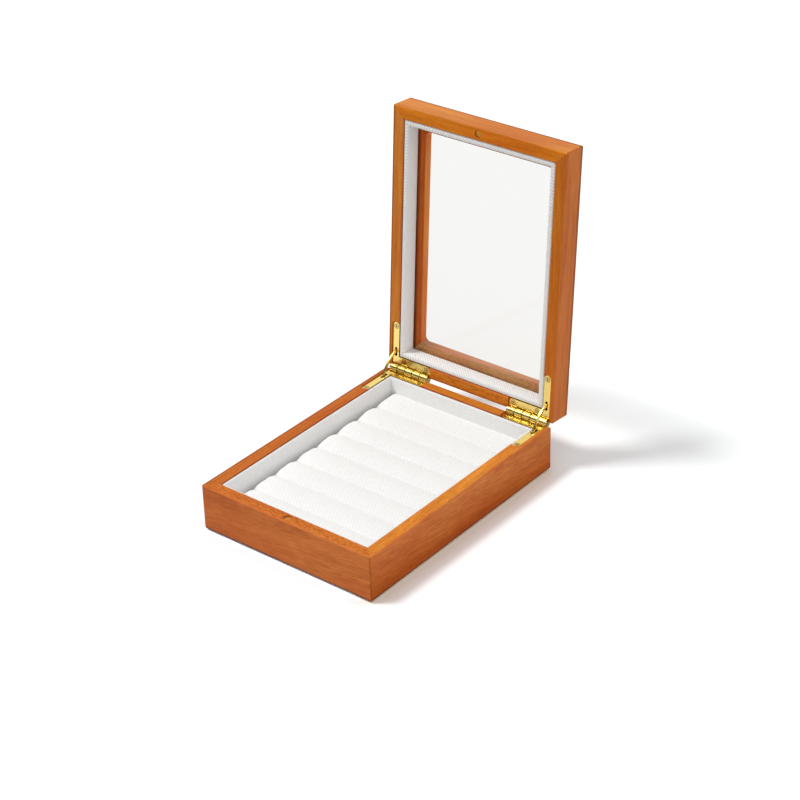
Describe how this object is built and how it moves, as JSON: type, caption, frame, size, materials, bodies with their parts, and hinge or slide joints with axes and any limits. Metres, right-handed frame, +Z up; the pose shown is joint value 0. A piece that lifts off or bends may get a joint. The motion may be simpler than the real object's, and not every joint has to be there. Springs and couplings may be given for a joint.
{
  "type": "ring display box",
  "caption": "Mitred wooden ring display box with padded ring rolls and a glazed lid on two quadrant hinges with bowed stays.",
  "frame": {"origin": "centre of the base's underside", "axes": "+X along the hinge to the right, -Y towards the front, +Z up"},
  "size_m": [0.11, 0.1776, 0.1787],
  "materials": {
    "stained_wood": "satin lacquer over reddish brown stain",
    "fibreboard": "plain",
    "lining_linen": "fine plain weave",
    "roll_linen": "fine plain weave over soft foam",
    "clear_glass": "clear, polished",
    "polished_brass": "polished"
  },
  "bodies": {
    "base": {"base_front_wall": "stained_wood", "base_right_wall": "stained_wood", "base_back_wall": "stained_wood", "base_left_wall": "stained_wood", "bottom_panel": "fibreboard", "base_front_lining": "lining_linen", "base_right_lining": "lining_linen", "base_back_lining": "lining_linen", "base_left_lining": "lining_linen", "roll_board": "fibreboard", "ring_roll_1": "roll_linen", "ring_roll_2": "roll_linen", "ring_roll_3": "roll_linen", "ring_roll_4": "roll_linen", "ring_roll_5": "roll_linen", "ring_roll_6": "roll_linen", "ring_roll_7": "roll_linen", "ring_roll_8": "roll_linen", "base_magnet": "polished_brass", "left_base_leaf": "polished_brass", "right_base_leaf": "polished_brass", "left_hinge_pin": "polished_brass", "right_hinge_pin": "polished_brass", "base_hinge_screws": "polished_brass"},
    "lid": {"left_lid_leaf": "polished_brass", "right_lid_leaf": "polished_brass", "lid_hinge_screws": "polished_brass", "lid_front_rail": "stained_wood", "lid_right_rail": "stained_wood", "lid_back_rail": "stained_wood", "lid_left_rail": "stained_wood", "lid_front_lining": "lining_linen", "lid_right_lining": "lining_linen", "lid_back_lining": "lining_linen", "lid_left_lining": "lining_linen", "glass_pane": "clear_glass", "lid_magnet": "polished_brass"},
    "left_stay": {"left_stay": "polished_brass"},
    "right_stay": {"right_stay": "polished_brass"}
  },
  "joints": [
    {"name": "lid_hinge", "type": "hinge", "parent": "base", "child": "lid", "pos_m": [0, 0.076, 0.02715], "axis": [1, 0, 0], "range_deg": [0, 94]},
    {"name": "left_stay_turn", "type": "hinge", "parent": "base", "child": "left_stay", "pos_m": [0, 0.076, 0.02715], "axis": [1, 0, 0], "range_deg": [0, 47]},
    {"name": "right_stay_turn", "type": "hinge", "parent": "base", "child": "right_stay", "pos_m": [0, 0.076, 0.02715], "axis": [1, 0, 0], "range_deg": [0, 47]}
  ],
  "couplings": [
    {"joint": "left_stay_turn", "follows": "lid_hinge", "ratio": 0.5},
    {"joint": "right_stay_turn", "follows": "lid_hinge", "ratio": 0.5}
  ]
}
